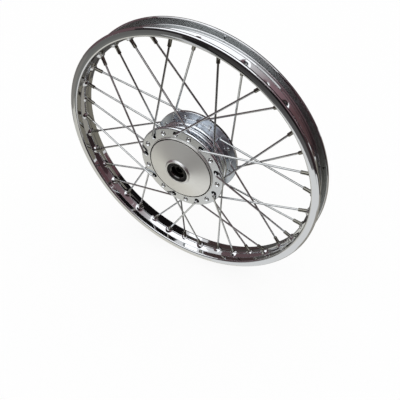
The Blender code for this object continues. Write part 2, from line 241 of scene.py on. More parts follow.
def laced(run, index):
    """Where a spoke's hole and seat stand in degrees, for a run numbered 0 to 3 in the order of the holes."""
    hole = FIRST_HOLE - HOLE_STEP * run - SPOKE_STEP * index
    return hole, hole + (-LACING_SWING if run < 2 else LACING_SWING)


seats = [(laced(run, index)[1] % 360, SEAT_OFFSET * (-1 if run in (0, 2) else 1))
         for run in range(RUNS) for index in range(SPOKES_PER_RUN)]


def well_rise(y):
    """How far the well has risen from its floor at a distance from the middle: a V with a rounded floor."""
    return WELL_SLOPE * (hypot(y, WELL_ROUND) - WELL_ROUND)


def well(sheet):
    """The well across the rim, on the tyre's side or a sheet's thickness nearer the hub."""
    points = []
    for step in range(-9, 10):
        y = SEAT_INNER * step / 10
        slope = WELL_SLOPE * y / hypot(y, WELL_ROUND)
        lean = hypot(1, slope)
        points.append((WELL_RADIUS + well_rise(y) - sheet / lean, y + sheet * slope / lean, 0))
    return points


def dimple(r, y, angle):
    """How far the rolled sheet is pressed towards the hub round the nearest nipple seat."""
    if r > BEAD_RADIUS - 2.5 * SHEET and abs(y) > SEAT_INNER:
        return 0
    depth = 0
    for seat, offset in seats:
        swing = abs((angle * 180 / pi - seat + 180) % 360 - 180)
        away = hypot(radians(swing) * WELL_RADIUS, y - offset)
        if away < SEAT_REACH:
            blend = min(1, (SEAT_REACH - away) / (SEAT_REACH - SEAT_FLAT))
            depth = (SEAT_DEPTH + SEAT_LEVELLING * well_rise(y)) * blend * blend * (3 - 2 * blend)
    return depth


# One half of the section, from the well over the bead seat, the knurled wall, the flat crest and
# the outer face of the lip to its underside.
half_section = [
    (BEAD_RADIUS - 0.3 * MM, SEAT_INNER, 0.6 * MM),
    (BEAD_RADIUS - 0.25 * MM, SEAT_INNER + 1.3 * MM, 1.0 * MM),
    (BEAD_RADIUS + 1.4 * MM, LIP_WALL, 1.0 * MM),
    (LIP_RADIUS - 2.0 * MM, LIP_WALL + 0.1 * MM, 2.2 * MM),
    (LIP_RADIUS - 0.2 * MM, LIP_WALL + 1.0 * MM, 0.8 * MM),
    (LIP_RADIUS - 0.2 * MM, LIP_CREST - 0.6 * MM, 0.9 * MM),
    (LIP_RADIUS - 1.2 * MM, LIP_CREST + 0.3 * MM, 1.3 * MM),
    (LIP_RADIUS - 3.5 * MM, LIP_CREST + 1.0 * MM, 3 * MM),
    (LIP_RADIUS - 8.5 * MM, LIP_CREST + LIP_HALF, 20 * MM),
    (BEAD_RADIUS - 0.3 * MM - SHEET, LIP_CREST + 0.7 * LIP_HALF, 2.6 * MM),
    (BEAD_RADIUS - 0.3 * MM - SHEET, SEAT_INNER + 0.5 * SHEET, 3 * MM),
]
far_half = [(r, -y, fillet) for r, y, fillet in reversed(half_section)]
rim = turned("rim_hoop", rounded(well(0) + half_section + well(SHEET)[::-1] + far_half), RIM_STEPS, dimple)
valve_place = around(WELL_RADIUS, VALVE_ANGLE, 0)
rim_holes = [(valve_place, around(1, VALVE_ANGLE, 0), VALVE_HOLE, VALVE_HOLE, -4 * MM, 3 * MM)]
for angle in DRAIN_ANGLES:
    drain_place = around(DRAIN_RADIUS, angle, LIP_WALL)
    rim_holes.append((drain_place, Vector((0, 1, 0)), DRAIN_HOLE, DRAIN_HOLE, -1 * MM, 3 * MM))
drilled(rim, rim_holes)
smooth(rim, 40)

# Chrome plate over rolled steel: a mirror that the rolling leaves slightly wavy.
chrome = finish("chrome_plate_on_rolled_steel", {
    "Base Color": linear("C6C8CB"), "Metallic": 1.0, "Roughness": 0.05})
tree, socket = opened(chrome)
waves = mottle(tree, 35 * MM, 1.0)
wavy = add(tree, "ShaderNodeBump", {"Strength": 0.12, "Distance": 1 * MM, "Height": waves})
tree.links.new(wavy.outputs["Normal"], socket["Normal"])
smudges = mottle(tree, 12 * MM, 4.0)
haze = add(tree, "ShaderNodeMapRange", {"Value": smudges, "To Min": 0.02, "To Max": 0.07})
tree.links.new(haze.outputs["Result"], socket["Roughness"])
coat(rim, chrome)

# The same plate over the knurl that is rolled into the walls above the bead seats.
# The knurl breaks the mirror up.
knurled = finish("chrome_plate_on_knurl", {
    "Base Color": linear("969A9A"), "Metallic": 1.0, "Roughness": 0.26})
tree, socket = opened(knurled)
seat_map = add(tree, "ShaderNodeUVMap", uv_map="turning")
split = add(tree, "ShaderNodeSeparateXYZ", {"Vector": seat_map.outputs["UV"]})
ridges = []
for axis, pitch in (("X", KNURL_PITCH), ("Y", 0.7 * KNURL_PITCH)):
    phase = add(tree, "ShaderNodeMath", {0: split.outputs[axis], 1: 2 * pi / pitch}, operation="MULTIPLY")
    ridges.append(add(tree, "ShaderNodeMath", {0: phase.outputs[0]}, operation="SINE"))
studs = add(tree, "ShaderNodeMath", {0: ridges[0].outputs[0], 1: ridges[1].outputs[0]},
            operation="MULTIPLY")
knurl = add(tree, "ShaderNodeBump", {"Strength": 1.0, "Distance": 0.13 * MM, "Height": studs.outputs[0]})
tree.links.new(knurl.outputs["Normal"], socket["Normal"])
rim.data.materials.append(knurled)

# The walls of the drains are bare steel, painted near-black as the shade inside the holes.
unplated_hole_shade = finish("unplated_steel_painted_as_hole_shade", {"Base Color": linear("141312"), "Roughness": 0.7})
rim.data.materials.append(unplated_hole_shade)
for face in rim.data.polygons:
    x, y, z = face.center
    drain_axes = [around(DRAIN_RADIUS, angle, y) for angle in DRAIN_ANGLES]
    drained = any((face.center - axis).length < DRAIN_HOLE + 0.1 * MM for axis in drain_axes)
    if drained and y > LIP_WALL + 0.15 * MM:
        face.material_index = UNPLATED_SHADE
    elif KNURL_FOOT < hypot(x, z) < KNURL_TOP and abs(y) < LIP_WALL + 0.5 * MM:
        face.material_index = KNURLED
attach(rim, "wheel")
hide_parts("rim")


# Hub shell
# One aluminium casting: a shallow cone on the closed side, two flanges for the spokes, a barrel with two ribs
# and the drum. It is turned and left bare, so fine rings run round the axle.
BOSS_FACE = 38.7 * MM
BOSS_EDGE = 20.3 * MM
BOSS_FOOT = 23.4 * MM
CONE_TOP = 36.4 * MM
CONE_RADIUS = 55.7 * MM
CONE_EDGE = 29.35 * MM
GROOVE_FLOOR = 27.4 * MM
GROOVE_RADIUS = 57.6 * MM
LAND_RADIUS = 58.7 * MM
FLANGE_FACE = 26.5 * MM
FLANGE_BACK = 21.5 * MM
FLANGE_RADIUS = 76.8 * MM
HOLE_CIRCLE = 67 * MM
SPOKE_HOLE = 1.9 * MM
COUNTERBORE = 4.3 * MM
HOLE_MOUTH = 4.7 * MM
COUNTERBORE_DEPTH = 2.2 * MM
HEAD_BORE_SHARE = 0.88
HEAD_DEPTH_SHARE = 0.4
BARREL = 62.5 * MM
RIB = 4.6 * MM
RIB_TOP_HALF = 2.2 * MM
RIB_FOOT_HALF = 4 * MM
RIBS = (-4.6 * MM, 6.0 * MM)
DRUM_WALL = 59.3 * MM
DRUM_FLOOR = 3.4 * MM
DRUM_MOUTH = 29 * MM
DRUM_RIM = 63.3 * MM
HOUSING_RADIUS = 24.3 * MM
HOUSING_END = 17.3 * MM
POCKET = 18.8 * MM
SHOULDER = 15.3 * MM
SHOULDER_ENDS = (-18.7 * MM, 4.7 * MM)
GROOVE_BAND = (-28.9 * MM, -27 * MM)
BOSS_BAND = (-38.65 * MM, -36.3 * MM)
FLAT = 0.98
HUB_STEPS = 216
POLISHED, SATIN, SHADED_RECESS, FACED, BURNISHED = range(1, 6)

hub_corners = [
    (POCKET, -BOSS_FACE, 0.3 * MM),
    (BOSS_EDGE, -BOSS_FACE, 0.6 * MM),
    (BOSS_FOOT, -CONE_TOP, 0.5 * MM),
    (CONE_RADIUS, -CONE_EDGE, 0.4 * MM),
    (55.9 * MM, -GROOVE_FLOOR, 0.2 * MM),
    (57.5 * MM, -GROOVE_FLOOR, 0.2 * MM),
    (GROOVE_RADIUS, -29.1 * MM, 0.25 * MM),
    (58.4 * MM, -29.0 * MM, 0.4 * MM),
    (LAND_RADIUS, -FLANGE_FACE, 0.3 * MM),
    (FLANGE_RADIUS, -FLANGE_FACE, 2.2 * MM),
    (FLANGE_RADIUS, -FLANGE_BACK, 1.2 * MM),
    (BARREL, -FLANGE_BACK, 1.2 * MM),
]
for rib in RIBS:
    hub_corners += [
        (BARREL, rib - RIB_FOOT_HALF, 1.0 * MM),
        (BARREL + RIB, rib - RIB_TOP_HALF, 3.0 * MM),
        (BARREL + RIB, rib + RIB_TOP_HALF, 3.0 * MM),
        (BARREL, rib + RIB_FOOT_HALF, 1.0 * MM),
    ]
hub_corners += [
    (BARREL, 15 * MM, 2.0 * MM),
    (BARREL + 0.8 * MM, FLANGE_BACK, 1.2 * MM),
    (FLANGE_RADIUS, FLANGE_BACK, 0.8 * MM),
    (FLANGE_RADIUS, FLANGE_FACE, 0.8 * MM),
    (DRUM_RIM, FLANGE_FACE, 0.4 * MM),
    (DRUM_RIM, DRUM_MOUTH, 0.5 * MM),
    (DRUM_WALL, DRUM_MOUTH, 0.4 * MM),
    (DRUM_WALL, DRUM_FLOOR, 0.2 * MM),
    (54.7 * MM, DRUM_FLOOR, 0.4 * MM),
    (51.7 * MM, -20.1 * MM, 3.0 * MM),
    (48.7 * MM, -23.1 * MM, 3.0 * MM),
    (27.3 * MM, -30.5 * MM, 3.0 * MM),
    (HOUSING_RADIUS, -27.5 * MM, 3.0 * MM),
    (HOUSING_RADIUS, HOUSING_END, 0.6 * MM),
    (POCKET, HOUSING_END, 0.4 * MM),
    (POCKET, SHOULDER_ENDS[1], 0.2 * MM),
    (SHOULDER, SHOULDER_ENDS[1], 0.3 * MM),
    (SHOULDER, SHOULDER_ENDS[0], 0.3 * MM),
    (POCKET, SHOULDER_ENDS[0], 0.2 * MM),
]
hub = turned("hub_casting", rounded(hub_corners), HUB_STEPS)

# Each hole for a spoke has a counterbore for the head or the elbow, and a chamfered mouth.
# The counterbore is deep where the spoke leaves the outer face. Cutters that overlap go in three passes.
spoke_holes, counterbores, chamfers = [], [], []
for run in range(RUNS):
    for index in range(SPOKES_PER_RUN):
        hole = laced(run, index)[0]
        face = -1 if run in (0, 2) else 1
        outward = Vector((0, face, 0))
        mouth = around(HOLE_CIRCLE, hole, face * FLANGE_FACE)
        spoke_holes.append((mouth, outward, SPOKE_HOLE, SPOKE_HOLE, -6 * MM, 1 * MM))
        outside = run in (0, 3)
        bore = COUNTERBORE if outside else HEAD_BORE_SHARE * COUNTERBORE
        depth = COUNTERBORE_DEPTH if outside else HEAD_DEPTH_SHARE * COUNTERBORE_DEPTH
        counterbores.append((mouth, outward, bore - 0.4 * MM, bore, -depth, 0.1 * MM))
        chamfers.append((mouth, outward, bore - 0.1 * MM, HOLE_MOUTH, bore - HOLE_MOUTH, 0.1 * MM))
for holes in (spoke_holes, counterbores, chamfers):
    drilled(hub, holes)
smooth(hub, 32)


def turned_finish(name, values, pitch, depth):
    """A metal finish with the fine rings of a lathe tool, which draw its highlights out across the rings."""
    material = finish(name, values)
    tree, socket = opened(material)
    grain_map = add(tree, "ShaderNodeUVMap", uv_map="turning")
    split = add(tree, "ShaderNodeSeparateXYZ", {"Vector": grain_map.outputs["UV"]})
    groove = add(tree, "ShaderNodeTexNoise", {"W": split.outputs["Y"], "Scale": 1 / pitch, "Detail": 2.0},
                 noise_dimensions="1D")
    rings = add(tree, "ShaderNodeBump", {
        "Strength": 1.0, "Distance": depth, "Height": groove.outputs["Fac"]})
    tree.links.new(rings.outputs["Normal"], socket["Normal"])
    lay = add(tree, "ShaderNodeTangent", direction_type="UV_MAP", uv_map="turning")
    tree.links.new(lay.outputs["Tangent"], socket["Tangent"])
    return material


aluminium = turned_finish("turned_bare_aluminium", {
    "Base Color": linear("D9D9D6"), "Metallic": 0.8, "Roughness": 0.4, "Anisotropic": 0.5,
    "Anisotropic Rotation": 0.25}, 0.5 * MM, 0.008 * MM)
coat(hub, aluminium)

# The barrel, its ribs and the mouths of the holes are polished. The outer faces of the flanges are satin, and
# their backs are faced on the lathe. The boss is burnished. The groove and the holes get a near-black
# aluminium: painted shade for these recesses.
polished = finish("polished_bare_aluminium", {
    "Base Color": linear("DCE1E7"), "Metallic": 1.0, "Roughness": 0.16})
satin = finish("satin_bare_aluminium", {
    "Base Color": linear("C2C5C8"), "Metallic": 1.0, "Roughness": 0.2})
faced = turned_finish("faced_bare_aluminium", {
    "Base Color": linear("CBD2DA"), "Metallic": 1.0, "Roughness": 0.36, "Anisotropic": 0.8,
    "Anisotropic Rotation": 0.25}, 0.4 * MM, 0.006 * MM)
burnished = finish("burnished_bare_aluminium", {
    "Base Color": linear("E2E4E6"), "Metallic": 1.0, "Roughness": 0.3})
# Painted shade: a near-black aluminium for the walls of the groove and of the holes, where shade falls.
recess_shade = finish("aluminium_painted_dark_as_recess_shade", {
    "Base Color": linear("2A2B2D"), "Metallic": 1.0, "Roughness": 0.4})
for metal in (polished, satin, recess_shade, faced, burnished):
    hub.data.materials.append(metal)
for face in hub.data.polygons:
    x, y, z = face.center
    radius = hypot(x, z)
    level = abs(face.normal.y)
    off_circle = abs(radius - HOLE_CIRCLE)
    chamfered = off_circle < HOLE_MOUTH and 0.5 < level < 0.9 and abs(y) > FLANGE_FACE - 1 * MM
    bored = off_circle < COUNTERBORE and FLANGE_BACK + 0.05 * MM < abs(y) < FLANGE_FACE - 0.05 * MM
    grooved = CONE_RADIUS + 0.1 * MM < radius < GROOVE_RADIUS and GROOVE_BAND[0] < y < GROOVE_BAND[1]
    on_boss = 20 * MM < radius < BOSS_FOOT + 0.2 * MM and BOSS_BAND[0] < y < BOSS_BAND[1]
    past_land = radius > LAND_RADIUS + 0.2 * MM
    if chamfered:
        face.material_index = POLISHED
    # The groove and the holes take the painted shade.
    elif bored or grooved:
        face.material_index = SHADED_RECESS
    elif radius > BARREL + 1.3 * MM and level > FLAT and abs(abs(y) - FLANGE_BACK) < 0.1 * MM:
        face.material_index = FACED
    elif past_land and level > FLAT:
        face.material_index = SATIN
    elif on_boss:
        face.material_index = BURNISHED
    elif past_land and face.normal.dot((x, 0, z)) > -30 * MM:
        face.material_index = POLISHED
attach(hub, "wheel")
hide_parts("hub_shell")


# Spokes and nipples
# Thirty-six drawn and plated steel wires, each with a head in the flange, an elbow, and a nipple at the rim.
# Four runs of nine follow each other round the hub, so one tree draws a spoke of each run and
# turns it nine times.
WIRE = 1.6 * MM
HEAD = 4.4 * MM
HEAD_LIFT = -0.5 * MM
ELBOW = 4.6 * MM
BEND = 4.2 * MM
NIPPLE = 3.0 * MM
NIPPLE_LENGTH = 14.5 * MM
NIPPLE_TIP = 2.8 * MM
NIPPLE_HEAD = 4.3 * MM
DOME_EDGE = 48

wire_steel = finish("plated_steel_wire", {
    "Base Color": linear("C1C4C6"), "Metallic": 1.0, "Roughness": 0.16})
tree, socket = opened(wire_steel)
dull = add(tree, "ShaderNodeMapRange", {"Value": mottle(tree, 4 * MM), "To Min": 0.12, "To Max": 0.2})
tree.links.new(dull.outputs["Result"], socket["Roughness"])

nipple_plate = finish("nickel_plated_nipple", {
    "Base Color": linear("9C9A8A"), "Metallic": 1.0, "Roughness": 0.12})
tree, socket = opened(nipple_plate)
shade = add(tree, "ShaderNodeMix", {
    "Factor": mottle(tree, 6 * MM), "A": linear("6A6962"), "B": linear("8F8E87")}, data_type="RGBA")
tree.links.new(shade.outputs["Result"], socket["Base Color"])


def lathed(name, outline, sides):
    """A closed mesh turned about Z from (radius, z) points that start and end on the axis."""
    body = bmesh.new()
    rings_made = []
    for r, z in outline:
        if r == 0:
            rings_made.append([body.verts.new((0, 0, z))])
        else:
            rings_made.append([body.verts.new((r * cos(2 * pi * i / sides), r * sin(2 * pi * i / sides), z))
                               for i in range(sides)])
    for low, high in zip(rings_made, rings_made[1:]):
        for i in range(sides):
            j = (i + 1) % sides
            corners = [low[i % len(low)], low[j % len(low)], high[j % len(high)], high[i % len(high)]]
            body.faces.new(list(dict.fromkeys(corners)))
    bmesh.ops.recalc_face_normals(body, faces=body.faces)
    mesh = bpy.data.meshes.new(name)
    body.to_mesh(mesh)
    body.free()
    made = bpy.data.objects.new(name, mesh)
    smooth(made, 40)
    return made


# A nipple points along Z from its tip to its head, with its seat at zero.
# A spoke's head points along the wire.
nipple = lathed("nipple", [
    (0, -NIPPLE_LENGTH), (2.3 * MM, -NIPPLE_LENGTH), (NIPPLE_TIP, -NIPPLE_LENGTH + 0.5 * MM),
    (NIPPLE_TIP, -5 * MM), (NIPPLE, -4.4 * MM), (NIPPLE, 0), (NIPPLE_HEAD, 0.6 * MM), (NIPPLE_HEAD, 1.4 * MM),
    (3.6 * MM, 2.7 * MM), (2.2 * MM, 3.3 * MM), (0, 3.4 * MM)], 16)
dome = [(HEAD * sin(radians(tilt)), HEAD * (cos(radians(DOME_EDGE)) - cos(radians(tilt))) - 0.3 * MM)
        for tilt in range(0, DOME_EDGE + 1, 8)]
spoke_head = lathed("spoke_head", [(0, dome[0][1])] + dome[1:] + [
    (3.2 * MM, 0.2 * MM), (WIRE, 0.6 * MM), (0, 0.6 * MM)], 20)

paths = bpy.data.meshes.new("spoke_paths")
stations = []
for run in range(RUNS):
    hole, seat = laced(run, 0)
    face = -1 if run in (0, 2) else 1
    outside = run in (0, 3)
    head_y, exit_y = (FLANGE_BACK, FLANGE_FACE) if outside else (FLANGE_FACE, FLANGE_BACK)
    way = face if outside else -face
    stations.append(around(HOLE_CIRCLE, hole, face * head_y - way * HEAD_LIFT))
    stations.append(around(HOLE_CIRCLE, hole, face * exit_y + way * ELBOW))
    stations.append(around(WELL_RADIUS - SEAT_DEPTH, seat, face * SEAT_OFFSET))
links = [(3 * run + step, 3 * run + step + 1) for run in range(RUNS) for step in range(2)]
paths.from_pydata(stations, links, [])
spokes = bpy.data.objects.new("laced_spokes", paths)
bpy.context.collection.objects.link(spokes)

lacing = bpy.data.node_groups.new("lacing", "GeometryNodeTree")
lacing.interface.new_socket("Paths", in_out="INPUT", socket_type="NodeSocketGeometry")
sizes = {}
for label, kind, value in (("Wire Radius", "NodeSocketFloat", WIRE), ("Bend Radius", "NodeSocketFloat", BEND),
                           ("Turns", "NodeSocketInt", SPOKES_PER_RUN), ("Nipple", "NodeSocketObject", nipple),
                           ("Head", "NodeSocketObject", spoke_head)):
    sizes[lacing.interface.new_socket(label, in_out="INPUT", socket_type=kind).identifier] = value
lacing.interface.new_socket("Spokes", in_out="OUTPUT", socket_type="NodeSocketGeometry")
given = add(lacing, "NodeGroupInput").outputs
path = add(lacing, "GeometryNodeMeshToCurve", {"Mesh": given["Paths"]}).outputs["Curve"]
bent = add(lacing, "GeometryNodeFilletCurve", {"Curve": path, "Radius": given["Bend Radius"], "Count": 7},
           mode="POLY")
round_wire = add(lacing, "GeometryNodeCurvePrimitiveCircle", {
    "Resolution": 12, "Radius": given["Wire Radius"]})
wire = add(lacing, "GeometryNodeCurveToMesh", {
    "Curve": bent.outputs["Curve"], "Fill Caps": True, "Profile Curve": round_wire.outputs["Curve"]})
wires = add(lacing, "GeometryNodeSetMaterial", {"Geometry": wire.outputs["Mesh"], "Material": wire_steel})
along = add(lacing, "FunctionNodeAlignRotationToVector", {
    "Vector": add(lacing, "GeometryNodeInputTangent").outputs["Tangent"]}, axis="Z").outputs["Rotation"]
ends = []
for label, start, end, material in (("Head", 1, 0, wire_steel), ("Nipple", 0, 1, nipple_plate)):
    shape = add(lacing, "GeometryNodeObjectInfo", {"Object": given[label]})
    at_end = add(lacing, "GeometryNodeCurveEndpointSelection", {"Start Size": start, "End Size": end})
    placed = add(lacing, "GeometryNodeInstanceOnPoints", {
        "Points": path, "Selection": at_end.outputs["Selection"], "Instance": shape.outputs["Geometry"],
        "Rotation": along})
    solid = add(lacing, "GeometryNodeRealizeInstances", {"Geometry": placed.outputs["Instances"]})
    ends.append(add(lacing, "GeometryNodeSetMaterial", {
        "Geometry": solid.outputs["Geometry"], "Material": material}))
four = add(lacing, "GeometryNodeJoinGeometry")
for part in [wires] + ends:
    lacing.links.new(part.outputs["Geometry"], four.inputs["Geometry"])
step = add(lacing, "ShaderNodeMath", {0: 2 * pi, 1: given["Turns"]}, operation="DIVIDE")
index = add(lacing, "GeometryNodeInputIndex")
swing = add(lacing, "ShaderNodeMath", {0: step.outputs[0], 1: index.outputs[0]}, operation="MULTIPLY")
turn = add(lacing, "ShaderNodeCombineXYZ", {"Y": swing.outputs[0]})
euler = add(lacing, "FunctionNodeEulerToRotation", {"Euler": turn.outputs["Vector"]})
nine = add(lacing, "GeometryNodePoints", {"Count": given["Turns"]})
one_turn = add(lacing, "GeometryNodeGeometryToInstance", {"Geometry": four.outputs["Geometry"]})
whole = add(lacing, "GeometryNodeInstanceOnPoints", {
    "Points": nine.outputs[0], "Rotation": euler.outputs["Rotation"], "Instance": one_turn.outputs[0]})
real = add(lacing, "GeometryNodeRealizeInstances", {"Geometry": whole.outputs["Instances"]})
add(lacing, "NodeGroupOutput", {"Spokes": real.outputs["Geometry"]})
laces = spokes.modifiers.new("lacing", "NODES")
laces.node_group = lacing
for identifier, value in sizes.items():
    laces[identifier] = value
settle(spokes)
smooth(spokes, 40)
for template in (nipple, spoke_head):
    bpy.data.objects.remove(template)
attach(spokes, "wheel")
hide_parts(*[f"{side}_{run}_spoke_{index}" for side in ("closed", "drum") for run in ("outer", "inner")
                      for index in range(1, 10)])


# Dust seal
# A moulded black rubber ring pressed into the boss in front of the bearing.
# Its lip wipes the collar on the axle.
SEAL_RADIUS = 18.4 * MM
SEAL_FACE = 38.3 * MM
SEAL_BACK = 31.4 * MM
SEAL_WALL = 15.9 * MM
SEAL_LIP = 12.6 * MM
RING_STEPS = 96

seal = turned("dust_seal_ring", rounded([
    (SEAL_RADIUS, -SEAL_FACE, 0.5 * MM),
    (SEAL_RADIUS, -SEAL_BACK, 0.3 * MM),
    (SEAL_WALL, -SEAL_BACK, 0.3 * MM),
    (SEAL_WALL, -36.2 * MM, 0.8 * MM),
    (12.4 * MM, -35.2 * MM, 0.6 * MM),
    (11.4 * MM, -36.0 * MM, 0.3 * MM),
    (SEAL_LIP, -37.6 * MM, 0.5 * MM),
    (15.4 * MM, -37.4 * MM, 0.5 * MM),
    (16.4 * MM, -SEAL_FACE, 0.4 * MM),
]), RING_STEPS)
smooth(seal, 50)
rubber = finish("moulded_black_rubber", {
    "Base Color": linear("070708"), "Roughness": 0.46, "Specular IOR Level": 0.2})
tree, socket = opened(rubber)
pits = mottle(tree, 0.7 * MM)
skin = add(tree, "ShaderNodeBump", {"Strength": 0.25, "Distance": 0.08 * MM, "Height": pits})
tree.links.new(skin.outputs["Normal"], socket["Normal"])
sheen = add(tree, "ShaderNodeMapRange", {"Value": pits, "To Min": 0.34, "To Max": 0.55})
tree.links.new(sheen.outputs["Result"], socket["Roughness"])
coat(seal, rubber)

# The lip is smooth and wet with grease.
wet_rubber = finish("greased_rubber_lip", {
    "Base Color": linear("050505"), "Roughness": 0.14, "Specular IOR Level": 1.0, "Coat Weight": 1.0,
    "Coat Roughness": 0.1})
seal.data.materials.append(wet_rubber)
for face in seal.data.polygons:
    x, y, z = face.center
    if hypot(x, z) < SEAL_LIP + 0.1 * MM and y < -35 * MM:
        face.material_index = 1
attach(seal, "wheel")
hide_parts("dust_seal")


# Brake liner
# A cast-iron ring held in the drum and bored to 110 mm.
# The brake shoes rub on its bore.
LINER_OUTER = 59.0 * MM
LINER_BORE = 55.0 * MM
LINER_FLOOR = 3.7 * MM
LINER_MOUTH = 28.7 * MM

liner = turned("brake_liner_ring", rounded([
    (LINER_OUTER, LINER_MOUTH, 0.3 * MM),
    (LINER_OUTER, LINER_FLOOR, 0.3 * MM),
    (LINER_BORE, LINER_FLOOR, 0.3 * MM),
    (LINER_BORE, 27.7 * MM, 0.2 * MM),
    (56.0 * MM, LINER_MOUTH, 0.2 * MM),
]), 180)
smooth(liner, 32)
iron = turned_finish("bored_cast_iron", {
    "Base Color": linear("6B6866"), "Metallic": 1.0, "Roughness": 0.4, "Anisotropic": 0.5,
    "Anisotropic Rotation": 0.25}, 0.6 * MM, 0.018 * MM)
coat(liner, iron)
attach(liner, "wheel")
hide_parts("brake_liner")


# Bearings
# Two ball bearings of 12 x 37 x 12 mm, ground from bearing steel, with seven balls each in a pressed cage.
# The outer rings are pressed into the hub, and the inner rings stay still on the axle.
BEARING_HALF = 6 * MM
BEARING_RADIUS = 18.5 * MM
OUTER_LAND = 15.3 * MM
INNER_LAND = 9.2 * MM
AXLE_BORE = 6.0 * MM
BALL = 2.97 * MM
BALL_COUNT = 7
BALL_CIRCLE = 12.25 * MM
CAGE_OUTER = 13.0 * MM
CAGE_INNER = 11.5 * MM
CAGE_HALF = 2.2 * MM

# Bearing steel painted near-black: painted shade for the inside of the hub. A film of grease varies its
# roughness.
steel = finish("greased_bearing_steel_painted_dark_as_shade", {
    "Base Color": linear("3A3835"), "Metallic": 1.0, "Roughness": 0.3})
tree, socket = opened(steel)
film = add(tree, "ShaderNodeMapRange", {"Value": mottle(tree, 4 * MM), "To Min": 0.22, "To Max": 0.42})
tree.links.new(film.outputs["Result"], socket["Roughness"])


def race(sign, y):
    """Raceway points round the balls, from the closed side to the drum side."""
    reach = BALL + 0.3 * MM
    return [(BALL_CIRCLE + sign * reach * cos(radians(swing)), y - reach * sin(radians(swing)), 0)
            for swing in (40, 25, 10, 0, -10, -25, -40)]


cage_tree = bpy.data.node_groups.new("ball_cage", "GeometryNodeTree")
cage_tree.interface.new_socket("Band", in_out="INPUT", socket_type="NodeSocketGeometry")
cage_sizes = {}
for label, kind, value in (("Balls", "NodeSocketInt", BALL_COUNT), ("Ball Radius", "NodeSocketFloat", BALL),
                           ("Circle Radius", "NodeSocketFloat", BALL_CIRCLE),
                           ("Height", "NodeSocketFloat", 0.0)):
    made = cage_tree.interface.new_socket(label, in_out="INPUT", socket_type=kind)
    cage_sizes[label] = made.identifier, value
cage_tree.interface.new_socket("Cage", in_out="OUTPUT", socket_type="NodeSocketGeometry")
given = add(cage_tree, "NodeGroupInput").outputs
circle = add(cage_tree, "GeometryNodeMeshCircle", {
    "Vertices": given["Balls"], "Radius": given["Circle Radius"]})
lift = add(cage_tree, "ShaderNodeCombineXYZ", {"Y": given["Height"]})
upright = add(cage_tree, "GeometryNodeTransform", {
    "Geometry": circle.outputs["Mesh"], "Rotation": (pi / 2, 0, 0), "Translation": lift.outputs["Vector"]})
ball = add(cage_tree, "GeometryNodeMeshUVSphere", {
    "Segments": 24, "Rings": 12, "Radius": given["Ball Radius"]})
balls = add(cage_tree, "GeometryNodeInstanceOnPoints", {
    "Points": upright.outputs["Geometry"], "Instance": ball.outputs["Mesh"]})
solid_balls = add(cage_tree, "GeometryNodeRealizeInstances", {"Geometry": balls.outputs["Instances"]})
both = add(cage_tree, "GeometryNodeJoinGeometry")
for shape in (given["Band"], solid_balls.outputs["Geometry"]):
    cage_tree.links.new(shape, both.inputs["Geometry"])
painted = add(cage_tree, "GeometryNodeSetMaterial", {"Geometry": both.outputs["Geometry"], "Material": steel})
add(cage_tree, "NodeGroupOutput", {"Cage": painted.outputs["Geometry"]})

for side, y in (("closed_side", -25 * MM), ("drum_side", 11 * MM)):
    low, high = y - BEARING_HALF, y + BEARING_HALF
    outer = turned(side + "_outer_ring", rounded(
        [(BEARING_RADIUS, low, 0.6 * MM), (OUTER_LAND, low, 0.3 * MM)] + race(1, y)
        + [(OUTER_LAND, high, 0.3 * MM), (BEARING_RADIUS, high, 0.6 * MM)]), RING_STEPS)
    inner = turned(side + "_inner_ring", rounded(
        [(AXLE_BORE, low, 0.5 * MM), (INNER_LAND, low, 0.3 * MM)] + race(-1, y)
        + [(INNER_LAND, high, 0.3 * MM), (AXLE_BORE, high, 0.5 * MM)]), RING_STEPS)
    cage = turned(side + "_cage", rounded(
        [(CAGE_OUTER, y - CAGE_HALF, 0.3 * MM), (CAGE_INNER, y - CAGE_HALF, 0.3 * MM),
         (CAGE_INNER, y + CAGE_HALF, 0.3 * MM), (CAGE_OUTER, y + CAGE_HALF, 0.3 * MM)], 2), RING_STEPS)
    filled = cage.modifiers.new("ball_cage", "NODES")
    filled.node_group = cage_tree
    for label, (identifier, value) in cage_sizes.items():
        filled[identifier] = y if label == "Height" else value
    settle(cage)
    for piece, body, node in ((outer, "wheel", "outer_ring"), (inner, "inner_stack", "inner_ring"),
                              (cage, side + "_cage", "balls_and_cage")):
        smooth(piece, 35)
        if not piece.data.materials:
            coat(piece, steel)
        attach(piece, body)
        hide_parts(f"{side}_bearing_{node}")


# Distance collar
# A zinc-plated steel tube on the axle.
# It keeps the two inner rings apart.
TUBE_RADIUS = 8.5 * MM
TUBE_BORE = 6.3 * MM
TUBE_ENDS = (-18.7 * MM, 4.7 * MM)

collar = turned("distance_tube", rounded([
    (TUBE_RADIUS, TUBE_ENDS[0], 0.4 * MM),
    (TUBE_RADIUS, TUBE_ENDS[1], 0.4 * MM),
    (TUBE_BORE, TUBE_ENDS[1], 0.3 * MM),
    (TUBE_BORE, TUBE_ENDS[0], 0.3 * MM),
]), 72)
smooth(collar, 32)
zinc = finish("zinc_plated_tube", {
    "Base Color": linear("A6A8AC"), "Metallic": 1.0, "Roughness": 0.38})
tree, socket = opened(zinc)
tone = add(tree, "ShaderNodeMix", {
    "Factor": mottle(tree, 3 * MM), "A": linear("94969A"), "B": linear("B4B6BA")}, data_type="RGBA")
tree.links.new(tone.outputs["Result"], socket["Base Color"])
coat(collar, zinc)
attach(collar, "inner_stack")
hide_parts("distance_collar")


